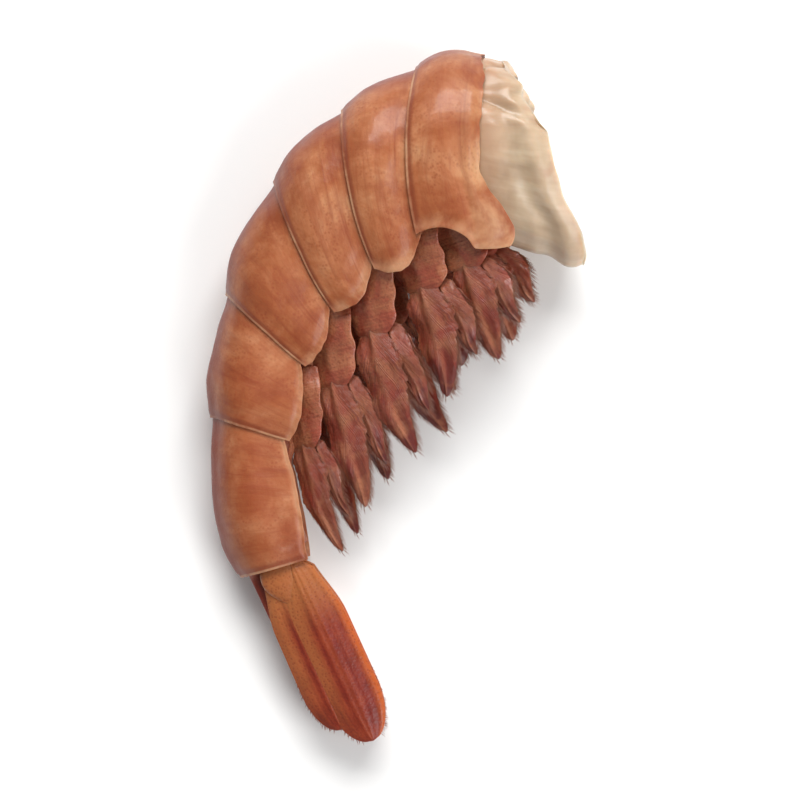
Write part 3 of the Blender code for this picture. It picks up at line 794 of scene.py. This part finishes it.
def crumple(piece, length, half, seed, teeth):
    """Folds a blade lengthways as wet skin, and gives its margin teeth where bristles stick."""
    points = points_of(piece) / MM
    off = np.abs(points[:, 1]) / half
    side = np.sign(points[:, 1])
    share = points[:, 0] / length
    track = columns(points[:, 0], 9.0 * side, 0)
    tooth = (points[:, 0] / 1.5 + 0.7 * lumps(track, 2.4, seed + 1)) % 1.0
    points[:, 1] *= 1 + off * (0.16 * lumps(track, 2.2, seed) + teeth * (tooth - tooth**6 - 0.4))
    long_way = columns(points[:, 0] / 5, points[:, 1], 0)
    folds = 0.32 * lumps(long_way, 1.1, seed + 7) + 0.1 * lumps(long_way, 0.4, seed + 9)
    points[:, 2] += folds * step(share / 0.15)
    points[:, 2] += 0.6 * off**2 * half / 3.6 * lumps(track, 3.2, seed + 4) * step(share / 0.2)
    move_points(piece, points * MM)


rng = random.Random(23)
root_length, half_root = ROOT_SHARE * PATTERN_LENGTH, 0.53 * PATTERN_WIDTH
leg_root = blade(root_length + ROOT_TUCK, 2 * half_root, 1.5, 0.12, broad_root,
                 [(0.62, 0.25, 0.22), (-0.66, 0.24, 0.16)], 48, 50, edge=0.4)
set_uv(leg_root, "UVMap", points_of(leg_root)[:, 0] / MM / ROOT_FADE, 0.19)
crumple(leg_root, root_length, half_root, 6.1, 0)
points = points_of(leg_root)
points[:, 0] -= ROOT_TUCK * MM
points[:, 2] *= 1 - 0.5 * step(points[:, 0] / (root_length * MM))
move_points(leg_root, points)
leg_parts = [leg_root]
for length, width, start, aside, down, swing, count in (
    (0.66 * PATTERN_LENGTH, 1.05 * PATTERN_WIDTH, 0.335, -0.05, 0.02, 0, 240),
    (0.48 * PATTERN_LENGTH, 0.74 * PATTERN_WIDTH, 0.34, 0.24, -0.12, 11, 170),
):
    core = 0.84 * width
    made = blade(length, core, 0.42, 0.14, lance, [(0.0, 0.13, 0.16)], 64, 120, edge=0.15)
    crumple(made, length, core / 2, 3.3 * aside + 2, 0.13)
    hairs = fringe(*margin_bristles(length, core, 0.16, lance, count, BRISTLE_REACH, 0.1, 0.99,
                                    rng, slant=17, clump=6), BRISTLE_THICKNESS, 0.12, 1.05)
    for piece in (made, hairs):
        turned(piece, (start * PATTERN_LENGTH, aside * PATTERN_WIDTH, down * PATTERN_WIDTH),
               (swing, "Z"))
        leg_parts.append(piece)
pattern = join(*leg_parts)

draws = random.Random(11)
limp = random.Random(5)
for number in range(5):
    for side in (1, -1):
        length = LEG_LENGTH[number] * draws.uniform(0.94, 1.04)
        if side < 0:
            length *= draws.uniform(0.86, 0.98)
        width = LEG_WIDTH[number]
        root_long = ROOT_SHARE * length
        s = JOINTS[number] + LEG_PLACE[number] * PLATE_PITCH[number]
        s += EDGE_LEAN[number + 1] * float(to_belly_at(s)) * 0.8
        heading = math.radians(LEG_HEADING[number] + draws.uniform(-1, 1) + (0 if side > 0 else 6))
        # The root's corner, not only its middle, has to clear the belly
        slant = heading - float(heading_at(s)) - math.pi / 2
        stand = math.hypot(root_long * math.cos(slant), 0.72 * width * math.sin(slant)) / 2
        stand -= root_long / 2 * math.cos(slant)
        level = float(to_belly_at(s)) + LEG_CLEAR + stand
        hangs_from = frame_at(s) @ Vector((0, level * MM, side * LEG_SPREAD * width_at(s) * MM))
        leg = copy_of(pattern)
        points = points_of(leg) / MM
        points *= (length / PATTERN_LENGTH, width / PATTERN_WIDTH, width / PATTERN_WIDTH)
        # Each leg is limp in its own way: it bends, twists a little, and its tip curls
        t = np.clip(points[:, 0] / length, 0, 1.2)
        past_root = step(t / 0.3)
        roll = math.radians(limp.uniform(-16, 16)) * t**1.5
        y = points[:, 1] * np.cos(roll) - points[:, 2] * np.sin(roll)
        z = points[:, 1] * np.sin(roll) + points[:, 2] * np.cos(roll)
        y += limp.uniform(-1.3, 1.3) * np.sin(math.pi * t) * past_root
        if side < 0:
            y += 1.5 * past_root
        y += limp.uniform(-1.0, 1.6) * np.clip(t - 0.7, 0, 1) ** 2 * 8
        z += limp.uniform(-0.3, 0.6) * np.sin(math.pi * t) * past_root
        z -= limp.uniform(0, 0.9) * t**2
        ripple = np.sin(t * limp.uniform(14, 22) + limp.uniform(0, 6)) * step(t / 0.4)
        z += 0.22 * ripple * np.abs(points[:, 1]) / 2.5
        move_points(leg, columns(points[:, 0], y, z) * MM)
        leg.data.transform(
            Matrix.Translation(hangs_from)
            @ Matrix.Rotation(heading, 4, "Z")
            @ Matrix.Rotation(math.radians(side * 2), 4, "Y")
            @ Matrix.Rotation(math.radians(LEG_TWIST + draws.uniform(-2, 2)), 4, "X")
        )
        which = f"{'right' if side > 0 else 'left'}_{number + 1}"
        hand_over(leg, f"swimming_leg_{which}", leg_skin, f"leg_{which}")
bpy.data.objects.remove(pattern)


# The tail fan: the middle spike and, on each side of it, a limb with a short thick root and two
# blades, here folded flat together. The blades are hard, dark red plates with raised ribs, a
# thick orange rim on the outer side, and a fringe of short bristles round the tip.

BLADE_THICKNESS = 0.6
OUTER_BLADE, INNER_BLADE = (25.5, 7.4), (22.5, 6.4)  # length and width
MIDDLE_RIBS = [(-0.12, 0.1, 0.16), (0.12, 0.1, 0.16)]
LIMB_SIDE = 2.35  # from the middle to each side
LIMB_FOLD = 1.6  # degrees that a limb turns towards the middle
SPIKE = (18.0, 1.7, 2.4)  # length, width from side to side and height

fan_shell, tree = finish_of("wet tail fan shell")
# Thick chitin, less clear than the plates: tan at the joint and down the inner margin, then dark
# red, with an orange outer rim. The layer's first number runs along a blade, and its second
# across it.
place = node(tree, "ShaderNodeTexCoord").outputs["Object"]
fan_map = node(tree, "ShaderNodeUVMap", uv_map="UVMap")
to_tip, across_fan = node(tree, "ShaderNodeSeparateXYZ", {"Vector": fan_map}).outputs[:2]
tone = node(tree, "ShaderNodeTexNoise", {
    "Vector": place, "Scale": 1 / 0.0035, "Detail": 4.0, "Roughness": 0.6})
base = node(tree, "ShaderNodeValToRGB", {"Fac": tone},
            [(0.3, "#5E140B"), (0.5, "#751E0F"), (0.7, "#8A3115")])
# Fine lines run along the blade, about 0.5 mm apart
stretch = node(tree, "ShaderNodeMapping", {"Vector": fan_map, "Scale": (3, 7, 1)})
lines = node(tree, "ShaderNodeTexNoise", {"Vector": stretch, "Scale": 1.0, "Detail": 3.0})
lined = node(tree, "ShaderNodeMapRange", {
    "Value": lines, "From Min": 0.45, "From Max": 0.65, "To Max": 0.5})
outer_rim = node(tree, "ShaderNodeMapRange", {
    "Value": across_fan, "From Min": 0.6, "From Max": 0.92, "To Max": 0.85},
    interpolation_type="SMOOTHSTEP")
inner_side = node(tree, "ShaderNodeMapRange", {
    "Value": across_fan, "From Min": -0.2, "From Max": -0.62}, interpolation_type="SMOOTHSTEP")
off_tip = node(tree, "ShaderNodeMapRange", {
    "Value": to_tip, "From Min": 0.5, "From Max": 0.98, "To Min": 0.85, "To Max": 0.1},
    interpolation_type="SMOOTHSTEP")
tanned = node(tree, "ShaderNodeMath", {0: inner_side, 1: off_tip}, operation="MULTIPLY")
off_rib = node(tree, "ShaderNodeMath", {0: across_fan}, operation="ABSOLUTE")
rib = node(tree, "ShaderNodeMapRange", {
    "Value": off_rib, "From Min": 0.2, "From Max": 0.08, "To Max": 0.3},
    interpolation_type="SMOOTHSTEP")
at_joint = node(tree, "ShaderNodeMapRange", {
    "Value": to_tip, "From Min": 0.42, "From Max": 0.1, "To Max": 0.85},
    interpolation_type="SMOOTHSTEP")
# Pigment stars, 0.2 mm dots
dots = node(tree, "ShaderNodeTexVoronoi", {"Vector": place, "Scale": 1 / 0.0004})
dotted = node(tree, "ShaderNodeMapRange", {
    "Value": dots, "From Min": 0.42, "From Max": 0.12, "To Max": 0.9})
spots = node(tree, "ShaderNodeMath", {0: dotted, 1: tone}, operation="MULTIPLY")
colour = base
for cover, code in (
    (lined, "#8E3716"), (outer_rim, "#B5561F"), (tanned, "#A35A2F"), (rib, "#94421E"),
    (at_joint, "#A86334"), (spots, "#6A2012"),
):
    colour = node(tree, "ShaderNodeMix", {0: cover, 6: colour, 7: linear(code)}, data_type="RGBA")
height = node(tree, "ShaderNodeMath", {0: lines, 1: dots}, operation="ADD")
bump = node(tree, "ShaderNodeBump", {"Height": height, "Strength": 0.3, "Distance": 0.00015})
rough = node(tree, "ShaderNodeMapRange", {
    "Value": tone, "From Min": 0.3, "From Max": 0.7, "To Min": 0.34, "To Max": 0.5})
surface = node(tree, "ShaderNodeBsdfPrincipled", {
    "Base Color": colour, "Roughness": rough, "IOR": 1.4, "Normal": bump,
    "Subsurface Weight": 0.12, "Subsurface Radius": (1.0, 0.3, 0.2), "Subsurface Scale": 0.0006,
    "Coat Weight": 0.12, "Coat Roughness": 0.15})
node(tree, "ShaderNodeOutputMaterial", {"Surface": surface})


def paddle(t):
    """The width of a tail blade along its length: nearly even, with a round tip."""
    end = np.clip((t - 0.72) / 0.28, 0, 1)
    return (0.6 + 0.4 * step(t / 0.36)) * np.sqrt(1 - end**2.2)


rng = random.Random(31)
limb_pieces = []
for (length, width), shift, swing, tilt, side_ribs in (
    (OUTER_BLADE, (1.8, 1.6, 0.75), 5.5, 1.5,
     [(0.86, 0.16, 0.28), (0.45, 0.12, 0.06), (-0.5, 0.2, 0.05)]),
    (INNER_BLADE, (2.2, -0.9, -0.15), 4.5, 1.0, [(0.7, 0.2, 0.06), (-0.7, 0.2, 0.08)]),
):
    made = blade(length, width, BLADE_THICKNESS, 0.2, paddle, MIDDLE_RIBS + side_ribs, 96, 110,
                 edge=0.35)
    hairs = fringe(*margin_bristles(length, width, 0.2, paddle, 46, 0.9, 0.62, 0.985, rng,
                                    slant=50, clump=3), 0.05, 0.1, 0.6)
    for piece in (made, hairs):
        turned(piece, shift, (swing, "Z"), (tilt, "Y"))
        limb_pieces.append(piece)

# The root of the limb: a disc drawn out to a flat, rounded block
bpy.ops.object.select_all(action="DESELECT")
bpy.ops.mesh.primitive_circle_add(
    vertices=16, radius=0.7 * MM, fill_type="NGON", rotation=(0, math.pi / 2, 0))
limb_root = bpy.context.active_object
bpy.ops.object.transform_apply(location=False, rotation=True, scale=True)
bpy.ops.object.mode_set(mode="EDIT")
bpy.ops.mesh.select_all(action="SELECT")
reached = 0.0
for advance, wider, thicker in (
    (0.5, 2.6, 1.2), (1.2, 1.45, 1.2), (1.5, 1.18, 1.05), (1.4, 0.9, 0.95), (1.2, 0.66, 0.75),
    (1.2, 0.4, 0.5), (0.5, 0.3, 0.4),
):
    bpy.ops.mesh.extrude_region_move(TRANSFORM_OT_translate={"value": (advance * MM, 0, 0)})
    reached += advance
    bpy.ops.transform.resize(value=(1, wider, thicker), center_override=(reached * MM, 0, 0))
bpy.ops.mesh.select_all(action="SELECT")
bpy.ops.mesh.normals_make_consistent(inside=False)
bpy.ops.object.mode_set(mode="OBJECT")
shaped_by(limb_root, "SUBSURF", levels=2, render_levels=2)
points = points_of(limb_root) / MM
set_uv(limb_root, "UVMap", points[:, 0] / 40, 0.3 + points[:, 1] * 0.1)
limb = join(limb_root, *limb_pieces)

other_limb = copy_of(limb)
other_limb.data.transform(Matrix.Scale(-1, 4, Vector((0, 0, 1))))
other_limb.data.flip_normals()
tail = frame_at(TAIL_JOINT - 1.1)
for piece, side in ((limb, 1), (other_limb, -1)):
    fold = Matrix.Rotation(math.radians(LIMB_FOLD * side), 4, "Y")
    piece.data.transform(tail @ Matrix.Translation(Vector((0, 0.4, side * LIMB_SIDE)) * MM) @ fold)
    which = "right" if side > 0 else "left"
    hand_over(piece, f"fan_limb_{which}", fan_shell, f"tail_limb_{which}")

# The middle spike: a narrow wedge, broad where it leaves the last plate, with a groove down its
# outer edge and a sharp tip
length, wide, thick = SPIKE
bpy.ops.mesh.primitive_uv_sphere_add(segments=40, ring_count=60, radius=1)
spike = bpy.context.active_object
share, turn = round_ball(spike)
taper = (1 - 0.82 * share) * np.minimum(1, np.sqrt(share * 12)) * np.minimum(1, (1 - share) * 9)
off_groove = np.abs(np.angle(np.exp(1j * (turn + math.pi / 2))))
y = np.sin(turn) * thick / 2 * taper * (1 - 0.28 * np.exp(-(off_groove / 0.35) ** 2))
z = np.cos(turn) * wide / 2 * (taper + 1.3 * np.exp(-((share - 0.07) / 0.06) ** 2))
move_points(spike, columns(share * length, y, z) * MM)
set_uv(spike, "UVMap", 0.25 + share * 0.75, 0.5 * np.cos(turn))
spike.data.transform(
    frame_at(TAIL_JOINT - 1.0) @ Matrix.Translation((0, -3.0 * MM, 0))
    @ Matrix.Rotation(math.radians(3.5), 4, "Z"))
hand_over(spike, "fan_spike", fan_shell, "tail_spike")
